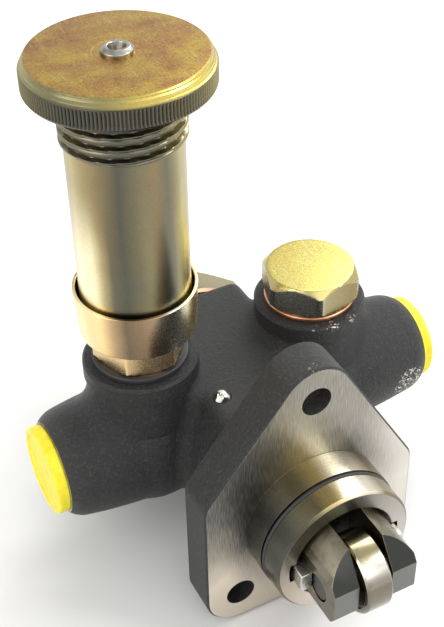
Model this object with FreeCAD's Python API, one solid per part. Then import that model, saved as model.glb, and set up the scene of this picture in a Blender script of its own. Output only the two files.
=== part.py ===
import FreeCAD, Part
import math
import os

# Fuel lift pump with a hand primer: a flanged cast housing with a plunger
# chamber along Y, a roller tappet in the pilot spigot, two valve towers along
# Z and a port on each side along X. Millimetres.
#
# Origin: centre of the pilot spigot, on the flange's mounting face.
# +Y runs back through the housing, +Z up along the primer, +X to the outlet.

V = FreeCAD.Vector
X = V(1, 0, 0)
Y = V(0, 1, 0)
Z = V(0, 0, 1)
diagonal = math.sqrt(0.5)

# Clearances
running = 0.05
free_gap = 0.3
thread_gap = 0.1
seat_gap = 0.02
hex_face_margin = 0.35
hex_chamfer = 30.0

# Flange: a plate round three bolt lobes and two shoulders
flange_thickness = 12.0
bolt_radius = 4.5
top_bolt_z = 42.1
low_bolt_x = 23.3
low_bolt_z = -23.1
top_lobe_radius = 11.0
low_lobe_radius = 10.7
left_shoulder = (-28.0, 14.2, 6.0)
right_shoulder = (25.5, 5.1, 8.0)
flange_edge = 0.6

# Pilot spigot with its O-ring groove and the slots of the tappet guides
spigot_radius = 21.5
spigot_length = 17.3
spigot_land_relief = 0.4
ring_groove_y = -9.3
ring_section = 0.7
ring_squeeze = 0.1
ring_groove_play = 0.1
ring_groove_depth = 1.5
bore_mouth_chamfer = 1.2

# Roller tappet
tappet_radius = 14.6
tappet_tip_y = -33.0
tappet_flat = 12.9
tappet_flat_end_y = -13.0
tappet_tip_height = 4.6
tappet_ear_slope = 55.0
tappet_rear_y = 10.0
tappet_travel = 8.0
fork_half = 5.2
fork_floor_y = -11.0
roller_radius = 11.2
roller_width = 8.0
roller_y = -24.7
pin_radius = 4.0
pin_recess = 0.3
guide_block_length = 7.6
guide_block_height = 6.0
guide_block_reach = 16.5
guide_block_y = -17.9
guide_slot_reach = 17.5
guide_shank_radius = 2.0
guide_shank_length = 4.0
snap_ring_y = 5.0
snap_ring_width = 1.1
snap_ring_depth = 0.9
waist_depth = 1.1

# Spindle, piston and spring chamber
spindle_radius = 4.0
piston_radius = 10.95
piston_length = 16.0
piston_floor = 5.0
piston_spring_radius = 8.0
piston_spring_wire = 2.2
piston_spring_turns = 5
chamber_start_y = 30.0
chamber_end_y = 64.0

# Central housing: round below, drawn up to a flat deck with rounded edges
housing_radius = 25.0
housing_end_y = 78.0
housing_round = 2.5
deck_z = 24.5
deck_half = 18.0
deck_round = 4.0
flange_fillet = 3.0
lobe_fillet = 4.0
port_fillet = 8.0

# Rear hexagon plug
rear_hex_flats = 46.0
rear_hex_height = 12.0
rear_seal_thickness = 2.0
rear_seal_width = 5.0
rear_thread_radius = 19.0
rear_plug_depth = 12.0
rear_recess_depth = 6.0

# Valve towers
valve_x = 28.4
valve_y = 51.0
tower_top_z = 32.5
tower_radius = 17.0
tower_lobe_radius = 20.0
tower_neck_radius = 16.4
tower_neck_z = 13.0
tower_collar_height = 6.0
tower_edge = 0.7
tower_thread_radius = 12.0
tower_thread_end_z = 18.0
valve_chamber_radius = 10.3
valve_floor_z = 8.0
valve_seat_radius = 4.5
valve_seat_height = 0.5
valve_seat_land = 1.6
valve_disc_radius = 7.0
valve_disc_thickness = 1.8
valve_stem_radius = 2.2
valve_stem_length = 4.5
valve_spring_radius = 5.4
valve_spring_wire = 1.0
valve_spring_turns = 4
coil_steps = 14
coil_sides = 6
channel_radius = 2.5
riser_radius = 1.6

# Ports and their transport caps
port_thread_radius = 7.2
port_thread_length = 12.0
port_mouth_radius = 8.2
port_mouth_length = 7.0
port_passage_radius = 6.5
port_end_radius = 14.1
port_round = 5.0
port_bulge = 0.4
inlet_end_x = -59.0
inlet_root_radius = 18.8
inlet_boss_radius = 16.8
outlet_end_x = 65.0
outlet_root_radius = 18.8
outlet_boss_radius = 16.5
outlet_passage_start_x = 36.0
cap_radius = 13.6
cap_thickness = 3.6
cap_rim_width = 1.6
cap_recess = 0.5
cap_web = 1.6
cap_stem_length = 6.0
cap_stem_wall = 1.4

# Sealing ball in the deck
ball_radius = 2.7
ball_sink = 0.8
ball_x = -12.5
ball_y = 30.6
ball_drilling_radius = 2.0
ball_drilling_depth = 9.0

# Delivery plug
plug_hex_flats = 27.0
plug_hex_turn = 71.5
plug_chamfer = 40.0
plug_hex_height = 9.8
plug_washer_thickness = 1.5
plug_washer_radius = 13.9
plug_stub_length = 12.5
plug_recess_radius = 6.0
plug_recess_depth = 8.0

# Hand primer
primer_washer_radius = 14.1
primer_washer_thickness = 1.8
primer_hex_flats = 24.0
primer_hex_turn = 50.0
primer_hex_height = 9.7
cup_radius = 17.5
cup_base_radius = 16.8
cup_height = 14.5
cup_edge = 0.4
cup_wall = 1.1
cup_floor = 3.0
neck_height = 6.0
primer_passage_radius = 4.0
barrel_radius = 15.64
barrel_wall = 2.6
barrel_length = 70.0
rod_guide_length = 8.0
rod_guide_lip = 1.5
rod_radius = 4.0
rod_stub_radius = 3.0
primer_piston_length = 5.0
primer_seal_thickness = 3.0
primer_nut_flats = 10.0
primer_nut_height = 3.0
nut_gap = 1.0
knob_radius = 24.4
knob_lift = 2.7
knob_chamfer = 0.8
knurl_height = 5.1
knob_crown = 2.6
knob_crown_step = 0.8
knob_crown_edge = 0.5
knob_plate = 4.0
knob_rim = 2.5
knob_seat_margin = 2.0
rivet_radius = 4.3
rivet_height = 1.6
rivet_hole_radius = 2.2
rivet_hole_depth = 4.0
rivet_sink = 0.2

# Worked out from the sizes above
bore_radius = tappet_radius + running
guide_radius = spindle_radius + running
chamber_radius = piston_radius + running
snap_groove_radius = bore_radius + snap_ring_depth
waist_radius = tappet_radius - waist_depth
spindle_start_y = tappet_rear_y
piston_start_y = chamber_start_y + 1.0
bore_end_y = tappet_rear_y + tappet_travel + 1.0
plug_inner_y = housing_end_y - rear_plug_depth
spring_seat_y = plug_inner_y + rear_recess_depth
guide_slot_half = guide_block_height / 2 + free_gap
guide_slot_end_y = guide_block_y + guide_block_length / 2 + tappet_travel + free_gap
ring_groove_radius = spigot_radius - ring_groove_depth
ring_groove_half = ring_section + ring_groove_play
valve_seat_z = valve_floor_z + valve_seat_height
stub_bottom_z = tower_top_z - plug_stub_length
hex_base_z = tower_top_z + primer_washer_thickness
cup_base_z = hex_base_z + primer_hex_height
cup_top_z = cup_base_z + cup_height
barrel_bottom_z = cup_base_z + cup_floor
barrel_top_z = barrel_bottom_z + barrel_length
knob_bottom_z = barrel_top_z + knob_lift
knurl_bottom_z = knob_bottom_z + knob_chamfer
knurl_top_z = knurl_bottom_z + knurl_height
knob_top_z = knurl_top_z + knob_crown
barrel_bore_radius = barrel_radius - barrel_wall
neck_top_z = barrel_bottom_z + neck_height
nut_bottom_z = neck_top_z + nut_gap
seal_bottom_z = nut_bottom_z + primer_nut_height
piston_bottom_z = seal_bottom_z + primer_seal_thickness
piston_top_z = piston_bottom_z + primer_piston_length
plug_base_z = tower_top_z + plug_washer_thickness
ball_z = deck_z - ball_sink
inlet_axis = V(-valve_x, valve_y, 0)
outlet_axis = V(valve_x, valve_y, 0)


# Shapes

def placed(shape, origin, axis):
    """The shape, built along local Z, moved to origin and pointed along axis."""
    shape.Placement = FreeCAD.Placement(origin, FreeCAD.Rotation(Z, axis))
    return shape


def turned(profile, origin, axis, start=0.0):
    """A solid turned round axis. Each profile point is (radius, along), or
    (radius, along, radius, along) for an arc that ends at the first pair and
    passes through the second. The turn begins at the angle start."""
    edges = []
    last = V(profile[-1][0], 0, profile[-1][1])
    for point in profile:
        here = V(point[0], 0, point[1])
        if len(point) == 4:
            edges.append(Part.Arc(last, V(point[2], 0, point[3]), here).toShape())
        elif (here - last).Length > 1e-6:
            edges.append(Part.LineSegment(last, here).toShape())
        last = here
    face = Part.Face(Part.Wire(edges))
    face.rotate(V(0, 0, 0), Z, start)
    return placed(face.revolve(V(0, 0, 0), Z, 360), origin, axis)


def rod(radius, start, end):
    """A plain cylinder from one point to another."""
    run = end - start
    return Part.makeCylinder(radius, run.Length, start, run)


def ring(outer, inner, thickness, origin, axis):
    """A flat washer."""
    return turned([(inner, 0), (outer, 0), (outer, thickness), (inner, thickness)],
                  origin, axis)


def hexagon(flats, height, origin, axis, turn, top_angle, base_angle):
    """A hexagon prism whose corners are turned off at an angle at the top and the
    base; an angle of 0 leaves them whole."""
    corner = flats / math.sqrt(3)
    points = []
    for side in range(7):
        angle = math.radians(turn + 60 * side)
        points.append(V(corner * math.cos(angle), corner * math.sin(angle), 0))
    prism = Part.Face(Part.makePolygon(points)).extrude(V(0, 0, height))
    face = flats / 2 - hex_face_margin
    low = (corner - face) * math.tan(math.radians(base_angle))
    high = (corner - face) * math.tan(math.radians(top_angle))
    envelope = turned([(0, 0), (face if low else corner, 0), (corner, low),
                       (corner, height - high), (face if high else corner, height),
                       (0, height)], V(0, 0, 0), Z)
    return placed(prism.common(envelope), origin, axis)


def coil(radius, wire, length, turns, origin, axis):
    """An open coil spring of the given outer radius, wire and length."""
    mean = radius - wire / 2
    rise = (length - wire) / turns
    sections = []
    for step in range(turns * coil_steps + 1):
        angle = 2 * math.pi * step / coil_steps
        out = V(math.cos(angle), math.sin(angle), 0)
        middle = out * mean + Z * (wire / 2 + rise * step / coil_steps)
        corners = []
        for side in range(coil_sides + 1):
            turn = 2 * math.pi * side / coil_sides
            corners.append(middle + out * (wire / 2 * math.cos(turn))
                           + Z * (wire / 2 * math.sin(turn)))
        sections.append(Part.makePolygon(corners))
    return placed(Part.makeLoft(sections, True, True), origin, axis)


def belt(circles):
    """The closed outline round circles (x, z, radius), listed so that the
    outline runs clockwise seen along +Y, as a face in the plane y = 0."""
    ends = []
    count = len(circles)
    for index in range(count):
        ax, az, ar = circles[index]
        bx, bz, br = circles[(index + 1) % count]
        heading = math.atan2(bz - az, bx - ax)
        lean = math.acos((ar - br) / math.hypot(bx - ax, bz - az))
        angle = heading + lean
        out = V(math.cos(angle), 0, math.sin(angle))
        ends.append((V(ax, 0, az) + out * ar, V(bx, 0, bz) + out * br, angle))
    edges = []
    for index in range(count):
        start, stop, angle = ends[index]
        onward, _, next_angle = ends[(index + 1) % count]
        edges.append(Part.LineSegment(start, stop).toShape())
        x, z, radius = circles[(index + 1) % count]
        sweep = (angle - next_angle) % (2 * math.pi)
        middle = angle - sweep / 2
        peak = V(x + radius * math.cos(middle), 0, z + radius * math.sin(middle))
        edges.append(Part.Arc(stop, peak, onward).toShape())
    return Part.Face(Part.Wire(edges))


# Cast housing

def flangePlate():
    circles = [(0, top_bolt_z, top_lobe_radius),
               right_shoulder,
               (low_bolt_x, low_bolt_z, low_lobe_radius),
               (-low_bolt_x, low_bolt_z, low_lobe_radius),
               left_shoulder]
    plate = belt(circles).extrude(V(0, flange_thickness, 0))
    front = [edge for edge in plate.Edges if edge.BoundBox.YMax < 0.01]
    return plate.makeChamfer(flange_edge, front)


def spigotBody():
    land = spigot_radius - spigot_land_relief
    tip = -spigot_length
    groove_low = ring_groove_y - ring_groove_half
    groove_high = ring_groove_y + ring_groove_half
    return turned([(0, 1), (spigot_radius, 1), (spigot_radius, groove_high),
                   (ring_groove_radius, groove_high), (ring_groove_radius, groove_low),
                   (land, groove_low), (land, tip + 0.8), (land - 0.8, tip),
                   (0, tip)], V(0, 0, 0), Y)


def centralBody():
    start = flange_thickness / 2
    corner_x = deck_half - deck_round
    corner_z = deck_z - deck_round
    section = belt([(-corner_x, corner_z, deck_round), (corner_x, corner_z, deck_round),
                    (0, 0, housing_radius)])
    body = section.extrude(V(0, housing_end_y - start, 0))
    body.translate(V(0, start, 0))
    rear = [edge for edge in body.Edges if edge.BoundBox.YMin > housing_end_y - 0.01]
    return body.makeFillet(housing_round, rear)


def towerBody(axis, side):
    """A lobe that is half a ball below and draws in to a neck with a collar."""
    lobe = tower_lobe_radius
    neck = tower_neck_radius
    waist = 0.7 * lobe + 0.3 * neck
    collar = tower_top_z - tower_collar_height
    return turned([(0, -lobe), (lobe, 0, diagonal * lobe, -diagonal * lobe),
                   (neck, tower_neck_z, waist, 0.55 * tower_neck_z), (neck, collar),
                   (tower_radius, collar + tower_radius - neck),
                   (tower_radius, tower_top_z - tower_edge),
                   (tower_radius - tower_edge, tower_top_z), (0, tower_top_z)],
                  axis, Z, 0 if side < 0 else 180)


def portBody(axis, side, end_x, root, boss):
    """A boss that tapers from the lobe and is rounded in to its machined end."""
    reach = abs(end_x) - valve_x
    shoulder = reach - port_round
    return turned([(0, 0), (root, 0), (root, 4),
                   (boss, shoulder, (root + boss) / 2 + port_bulge, 2 + shoulder / 2),
                   (port_end_radius, reach, boss - 0.3 * (boss - port_end_radius),
                    reach - port_round / 2), (0, reach)], axis, X * side, 90)


def junctions(body, reach, low_y, high_y):
    """The edges where curved surfaces of two pieces meet within abs(x) = reach."""
    found = []
    for edge in body.Edges:
        box = edge.BoundBox
        inside = max(-box.XMin, box.XMax) < reach and low_y < box.YMin and box.YMax < high_y
        if inside and not edge.Degenerated:
            if isinstance(edge.Curve, (Part.BSplineCurve, Part.Ellipse)):
                found.append(edge)
    return found


def lobeBody(axis, side, end_x, root, boss):
    """A valve tower with its port boss, blended where they meet."""
    body = towerBody(axis, side).fuse(portBody(axis, side, end_x, root, boss))
    edges = junctions(body, abs(end_x), 0, 2 * valve_y)
    return body.makeFillet(port_fillet, edges)


def roughBody():
    """The unmachined outside: housing, both lobes and the flange, blended."""
    body = centralBody()
    body = body.fuse(lobeBody(inlet_axis, -1, inlet_end_x, inlet_root_radius,
                              inlet_boss_radius))
    body = body.fuse(lobeBody(outlet_axis, 1, outlet_end_x, outlet_root_radius,
                              outlet_boss_radius))
    half = tower_lobe_radius + lobe_fillet
    edges = junctions(body, housing_radius + 1, valve_y - half, valve_y + half)
    body = body.makeFillet(lobe_fillet, edges).fuse(flangePlate())
    back = []
    for edge in body.Edges:
        box = edge.BoundBox
        on_face = abs(box.YMin - flange_thickness) + abs(box.YMax - flange_thickness) < 0.01
        if on_face and max(-box.XMin, box.XMax) < housing_radius + 0.1:
            if box.ZMin > -housing_radius - 0.1 and box.ZMax < deck_z + 0.1:
                back.append(edge)
    return body.makeFillet(flange_fillet, back)


def tappetBore():
    tip = -spigot_length
    mouth = bore_radius + bore_mouth_chamfer
    return turned([(0, tip - 1), (mouth, tip - 1), (mouth, tip),
                   (bore_radius, tip + bore_mouth_chamfer),
                   (bore_radius, snap_ring_y), (snap_groove_radius, snap_ring_y),
                   (snap_groove_radius, snap_ring_y + snap_ring_width),
                   (bore_radius, snap_ring_y + snap_ring_width),
                   (bore_radius, bore_end_y), (guide_radius + 1, bore_end_y),
                   (guide_radius, bore_end_y + 1), (guide_radius, chamber_start_y),
                   (0, chamber_start_y)], V(0, 0, 0), Y)


def guideSlots():
    reach = guide_slot_reach
    low = -spigot_length - 1
    slots = Part.makeBox(2 * reach, guide_slot_end_y - low, 2 * guide_slot_half,
                         V(-reach, low, -guide_slot_half))
    return slots.common(rod(reach, V(0, low - 1, 0), V(0, guide_slot_end_y + 1, 0)))


def pistonChamber():
    thread_start = chamber_end_y
    return turned([(0, chamber_start_y), (chamber_radius, chamber_start_y),
                   (chamber_radius, thread_start), (rear_thread_radius, thread_start),
                   (rear_thread_radius, housing_end_y - 1),
                   (rear_thread_radius + 1, housing_end_y), (0, housing_end_y)],
                  V(0, 0, 0), Y)


def valveBore(axis):
    """Thread, valve chamber and a raised seat round the passage below it."""
    seat = valve_seat_radius
    return turned([(0, 0), (seat, 0), (seat, valve_seat_z),
                   (seat + valve_seat_land, valve_seat_z),
                   (seat + valve_seat_land, valve_floor_z),
                   (valve_chamber_radius, valve_floor_z),
                   (valve_chamber_radius, tower_thread_end_z),
                   (tower_thread_radius, tower_thread_end_z),
                   (tower_thread_radius, tower_top_z - 1),
                   (tower_thread_radius + 1, tower_top_z), (0, tower_top_z)], axis, Z)


def portBore(end_x, start_x):
    """Plain mouth for the cap, thread, and a smaller passage inward."""
    out = X if end_x > 0 else -X
    reach = abs(end_x) - abs(start_x)
    thread_end = reach - port_mouth_length
    thread_start = thread_end - port_thread_length
    return turned([(0, 0), (port_passage_radius, 0), (port_passage_radius, thread_start),
                   (port_thread_radius, thread_start), (port_thread_radius, thread_end),
                   (port_mouth_radius, thread_end), (port_mouth_radius, reach - 0.5),
                   (port_mouth_radius + 0.5, reach), (0, reach)],
                  V(start_x, valve_y, 0), out)


def channels():
    """Drillings that join the valve chambers to the spring side of the piston,
    and the delivery chamber to the outlet port."""
    spring_side = V(0, chamber_end_y - 6, 0)
    tools = [rod(channel_radius, inlet_axis + Z * (valve_floor_z + 4), spring_side),
             rod(channel_radius, outlet_axis + Z * 2, spring_side)]
    offset = valve_chamber_radius - riser_radius - 0.1
    for angle in (-25, 0, 25):
        turn = math.radians(angle)
        foot = outlet_axis + V(offset * math.cos(turn), offset * math.sin(turn), 0)
        tools.append(rod(riser_radius, foot, foot + Z * (valve_floor_z + 1)))
    return tools


def ballSeat():
    shoulder = ball_z - math.sqrt(ball_radius ** 2 - ball_drilling_radius ** 2)
    hole = ball_radius + running
    return turned([(0, deck_z - ball_drilling_depth),
                   (ball_drilling_radius, deck_z - ball_drilling_depth),
                   (ball_drilling_radius, shoulder), (hole, shoulder),
                   (hole, deck_z + 1), (0, deck_z + 1)], V(ball_x, ball_y, 0), Z)


def boltHoles():
    centres = [(0, top_bolt_z), (low_bolt_x, low_bolt_z), (-low_bolt_x, low_bolt_z)]
    tools = []
    for x, z in centres:
        tools.append(rod(bolt_radius, V(x, -1, z), V(x, flange_thickness + 20, z)))
    return tools


def casting():
    body = roughBody().fuse(spigotBody())
    tools = [tappetBore(), guideSlots(), pistonChamber(), valveBore(inlet_axis),
             valveBore(outlet_axis), portBore(inlet_end_x, -valve_x),
             portBore(outlet_end_x, outlet_passage_start_x), ballSeat()]
    for tool in tools + channels() + boltHoles():
        body = body.cut(tool)
    return body


# Spigot and tappet pieces

def spigotRing():
    middle = spigot_radius - ring_squeeze - ring_section
    return Part.makeTorus(middle, ring_section, V(0, ring_groove_y, 0), Y)


def snapRing():
    inner = waist_radius + free_gap
    band = ring(snap_groove_radius, inner, snap_ring_width, V(0, snap_ring_y, 0), Y)
    gap = Part.makeBox(6, 6, 6, V(-3, snap_ring_y - 2, inner - 2))
    return band.cut(gap)


def tappetBody():
    """A round slide whose front is forked for the roller and bevelled above and
    below into two narrow tips."""
    waist_front = snap_ring_y - tappet_travel - free_gap
    waist_back = snap_ring_y + snap_ring_width + free_gap
    body = turned([(0, tappet_tip_y), (tappet_radius, tappet_tip_y),
                   (tappet_radius, waist_front - waist_depth), (waist_radius, waist_front),
                   (waist_radius, waist_back), (tappet_radius, waist_back),
                   (tappet_radius, tappet_rear_y - 0.8),
                   (tappet_radius - 0.8, tappet_rear_y), (0, tappet_rear_y)],
                  V(0, 0, 0), Y)
    fork = Part.makeBox(2 * fork_half, fork_floor_y - tappet_tip_y + 1, 60,
                        V(-fork_half, tappet_tip_y - 1, -30))
    body = body.cut(fork)
    rise = 40.0
    run = rise / math.tan(math.radians(tappet_ear_slope))
    for side in (1, -1):
        start = V(-30, tappet_tip_y, side * tappet_tip_height)
        wedge = Part.makePolygon([start, start + V(0, run, side * rise),
                                  start + V(0, -10, side * rise),
                                  start + V(0, -10, 0), start])
        body = body.cut(Part.Face(wedge).extrude(V(60, 0, 0)))
    for side in (1, -1):
        start = V(tappet_flat if side > 0 else -tappet_flat - 10, tappet_tip_y - 1, -30)
        body = body.cut(Part.makeBox(10, tappet_flat_end_y - tappet_tip_y + 1, 60, start))
        hole = guide_shank_radius + seat_gap
        inner = V(side * (tappet_flat - guide_shank_length - seat_gap), guide_block_y, 0)
        body = body.cut(rod(hole, inner, V(side * 30, guide_block_y, 0)))
    hole = pin_radius + seat_gap
    body = body.cut(rod(hole, V(-30, roller_y, 0), V(30, roller_y, 0)))
    return body.removeSplitter()


def rollerPin():
    half = tappet_flat - pin_recess
    return turned([(0, -half), (pin_radius - 0.5, -half), (pin_radius, 0.5 - half),
                   (pin_radius, half - 0.5), (pin_radius - 0.5, half), (0, half)],
                  V(0, roller_y, 0), X)


def guideBlock(side):
    """A square slide on the ear's flat, held by a shank pressed into the ear. Its
    outer face follows the slot's floor."""
    half = guide_block_length / 2
    start = V(tappet_flat + seat_gap, guide_block_y - half, -guide_block_height / 2)
    block = Part.makeBox(guide_block_reach, guide_block_length, guide_block_height, start)
    block = block.common(rod(guide_block_reach, V(0, guide_block_y - half, 0),
                             V(0, guide_block_y + half, 0)))
    shank = rod(guide_shank_radius, V(tappet_flat - guide_shank_length, guide_block_y, 0),
                V(tappet_flat + 1, guide_block_y, 0))
    block = block.fuse(shank).removeSplitter()
    if side < 0:
        block = block.mirror(V(0, 0, 0), X)
    return block


def tappetRoller():
    half = roller_width / 2
    bore = pin_radius + running
    return turned([(bore + 0.4, -half), (roller_radius - 0.6, -half),
                   (roller_radius, -half + 0.6), (roller_radius, half - 0.6),
                   (roller_radius - 0.6, half), (bore + 0.4, half),
                   (bore, half - 0.4), (bore, 0.4 - half)], V(0, roller_y, 0), X)


def spindle():
    return turned([(0, spindle_start_y), (spindle_radius - 0.5, spindle_start_y),
                   (spindle_radius, spindle_start_y + 0.5),
                   (spindle_radius, piston_start_y - 0.5),
                   (spindle_radius - 0.5, piston_start_y), (0, piston_start_y)],
                  V(0, 0, 0), Y)


def piston():
    back = piston_start_y + piston_length
    floor = piston_start_y + piston_floor
    hollow = piston_spring_radius + free_gap
    return turned([(0, piston_start_y), (piston_radius - 0.6, piston_start_y),
                   (piston_radius, piston_start_y + 0.6), (piston_radius, back - 0.6),
                   (piston_radius - 0.6, back), (hollow, back), (hollow, floor),
                   (0, floor)], V(0, 0, 0), Y)


def pistonSpring():
    start = piston_start_y + piston_floor
    return coil(piston_spring_radius, piston_spring_wire, spring_seat_y - start,
                piston_spring_turns, V(0, start, 0), Y)


# Closures of the housing

def rearPlug():
    head = hexagon(rear_hex_flats, rear_hex_height,
                   V(0, housing_end_y + rear_seal_thickness, 0), Y, 90, hex_chamfer, 0)
    stub_radius = rear_thread_radius - thread_gap
    recess = piston_spring_radius + free_gap
    stub = turned([(recess, plug_inner_y), (stub_radius - 1, plug_inner_y),
                   (stub_radius, plug_inner_y + 1),
                   (stub_radius, housing_end_y + rear_seal_thickness + 1),
                   (0, housing_end_y + rear_seal_thickness + 1),
                   (0, spring_seat_y), (recess, spring_seat_y)], V(0, 0, 0), Y)
    return head.fuse(stub).removeSplitter()


def rearSeal():
    inner = rear_thread_radius + 0.2
    return ring(inner + rear_seal_width, inner, rear_seal_thickness,
                V(0, housing_end_y, 0), Y)


def sealingBall():
    return Part.makeSphere(ball_radius, V(ball_x, ball_y, ball_z))


def deliveryPlug():
    head = hexagon(plug_hex_flats, plug_hex_height, outlet_axis + Z * plug_base_z, Z,
                   plug_hex_turn, plug_chamfer, plug_chamfer)
    stub_radius = tower_thread_radius - thread_gap
    recess_top = stub_bottom_z + plug_recess_depth
    stub = turned([(plug_recess_radius, stub_bottom_z), (stub_radius - 1, stub_bottom_z),
                   (stub_radius, stub_bottom_z + 1), (stub_radius, plug_base_z + 1),
                   (0, plug_base_z + 1), (0, recess_top),
                   (plug_recess_radius, recess_top)], outlet_axis, Z)
    return head.fuse(stub).removeSplitter()


def deliveryWasher():
    return ring(plug_washer_radius, tower_thread_radius + 0.05, plug_washer_thickness,
                outlet_axis + Z * tower_top_z, Z)


# Valves

def valve(axis):
    top = valve_seat_z + valve_disc_thickness
    return turned([(0, valve_seat_z), (valve_disc_radius, valve_seat_z),
                   (valve_disc_radius, top - 0.3), (valve_disc_radius - 0.3, top),
                   (valve_stem_radius, top), (valve_stem_radius, top + valve_stem_length - 0.4),
                   (valve_stem_radius - 0.4, top + valve_stem_length),
                   (0, top + valve_stem_length)], axis, Z)


def valveSpring(axis, top_z):
    start = valve_seat_z + valve_disc_thickness
    return coil(valve_spring_radius, valve_spring_wire, top_z - start,
                valve_spring_turns, axis + Z * start, Z)


# Hand primer

def primerBase():
    """Hexagon with a threaded stub below and a slightly conical cup above."""
    head = hexagon(primer_hex_flats, primer_hex_height + 1, inlet_axis + Z * hex_base_z,
                   Z, primer_hex_turn, 0, hex_chamfer)
    stub_radius = tower_thread_radius - thread_gap
    inner = barrel_radius + thread_gap
    rim = cup_radius - cup_wall
    neck = barrel_bore_radius - thread_gap
    hole = primer_passage_radius
    cup = turned([(hole, stub_bottom_z), (stub_radius - 1, stub_bottom_z),
                  (stub_radius, stub_bottom_z + 1), (stub_radius, cup_base_z),
                  (cup_base_radius - cup_edge, cup_base_z),
                  (cup_base_radius, cup_base_z + cup_edge),
                  (cup_radius, cup_top_z - 0.3), (cup_radius - 0.3, cup_top_z),
                  (rim, cup_top_z), (inner, barrel_bottom_z),
                  (neck, barrel_bottom_z), (neck, neck_top_z), (hole, neck_top_z)],
                 inlet_axis, Z)
    return head.cut(rod(hole, inlet_axis, inlet_axis + Z * cup_top_z)).fuse(cup).removeSplitter()


def primerWasher():
    return ring(primer_washer_radius, tower_thread_radius + 0.05,
                primer_washer_thickness, inlet_axis + Z * tower_top_z, Z)


def primerBarrel():
    top = barrel_top_z
    return turned([(barrel_bore_radius, barrel_bottom_z), (barrel_radius, barrel_bottom_z),
                   (barrel_radius, top - 0.8), (barrel_radius - 0.8, top),
                   (barrel_bore_radius, top)], inlet_axis, Z)


def rodGuide():
    """A bush pressed into the barrel's mouth that the rod slides in."""
    low = barrel_top_z - rod_guide_length
    outer = barrel_bore_radius - 0.02
    hole = rod_radius + running
    return turned([(hole, low), (outer, low), (outer, barrel_top_z),
                   (outer, barrel_top_z + rod_guide_lip - 0.5),
                   (outer - 0.5, barrel_top_z + rod_guide_lip),
                   (hole, barrel_top_z + rod_guide_lip)], inlet_axis, Z)


def primerPiston():
    hole = rod_stub_radius + running
    outer = barrel_bore_radius - running
    return turned([(hole, piston_bottom_z), (outer, piston_bottom_z),
                   (outer, piston_top_z - 0.5), (outer - 0.5, piston_top_z),
                   (hole, piston_top_z)], inlet_axis, Z)


def primerSeal():
    """A cup washer below the piston, its lip turned down."""
    hole = rod_stub_radius + running
    outer = barrel_bore_radius - running
    inner = outer - 1.6
    low = seal_bottom_z
    return turned([(hole, low + 1.4), (inner, low + 1.4), (inner + 0.6, low),
                   (outer, low), (outer, piston_bottom_z), (hole, piston_bottom_z)],
                  inlet_axis, Z)


def primerNut():
    nut = hexagon(primer_nut_flats, primer_nut_height, inlet_axis + Z * nut_bottom_z,
                  Z, 0, hex_chamfer, hex_chamfer)
    hole = rod_stub_radius + seat_gap
    return nut.cut(rod(hole, inlet_axis, inlet_axis + Z * barrel_top_z))


def primerRod():
    """The plunger rod: a thinner stub through the piston, and above the knob a
    hollow end flared over its recess."""
    seat = knob_top_z - rivet_sink
    top = knob_top_z + rivet_height
    collar = rod_stub_radius
    return turned([(0, nut_bottom_z), (rod_stub_radius, nut_bottom_z),
                   (rod_stub_radius, piston_top_z), (rod_radius, piston_top_z),
                   (rod_radius, knob_top_z - knob_plate), (collar, knob_top_z - knob_plate),
                   (collar, seat), (rivet_radius, seat),
                   (rivet_radius, top - 0.9),
                   (rivet_radius - 0.9, top, rivet_radius - 0.25, top - 0.25),
                   (rivet_hole_radius + 0.5, top),
                   (rivet_hole_radius, top - 0.5),
                   (rivet_hole_radius, top - rivet_hole_depth),
                   (0, top - rivet_hole_depth)], inlet_axis, Z)


def primerKnob():
    """A flat round handle with a turned-down rim."""
    under = knob_top_z - knob_plate
    inner = knob_radius - knob_rim
    hole = rod_stub_radius + seat_gap
    crown = knob_radius - knob_crown_step
    return turned([(hole, under), (inner, under), (inner, knob_bottom_z),
                   (knob_radius - knob_chamfer, knob_bottom_z),
                   (knob_radius, knurl_bottom_z), (knob_radius, knurl_top_z),
                   (crown, knurl_top_z + knob_crown_step),
                   (crown, knob_top_z - knob_crown_edge),
                   (crown - knob_crown_edge, knob_top_z),
                   (rivet_radius + knob_seat_margin, knob_top_z),
                   (rivet_radius + knob_seat_margin - rivet_sink, knob_top_z - rivet_sink),
                   (hole, knob_top_z - rivet_sink)], inlet_axis, Z)


# Port caps

def portCap(end_x):
    """A push-in cap: a disc with a raised rim and a hollow stem in the mouth."""
    out = X if end_x > 0 else -X
    top = cap_thickness
    stem = port_mouth_radius - free_gap
    rim = cap_radius - cap_rim_width
    hollow = stem - cap_stem_wall
    floor = top - cap_recess
    return turned([(stem, 0), (cap_radius - 0.4, 0), (cap_radius, 0.4),
                   (cap_radius, top - 0.6), (cap_radius - 0.6, top), (rim, top),
                   (rim - cap_recess, floor), (0, floor), (0, floor - cap_web),
                   (hollow, floor - cap_web), (hollow, -cap_stem_length),
                   (stem - 0.4, -cap_stem_length), (stem, -cap_stem_length + 1)],
                  V(end_x, valve_y, 0), out)


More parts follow.
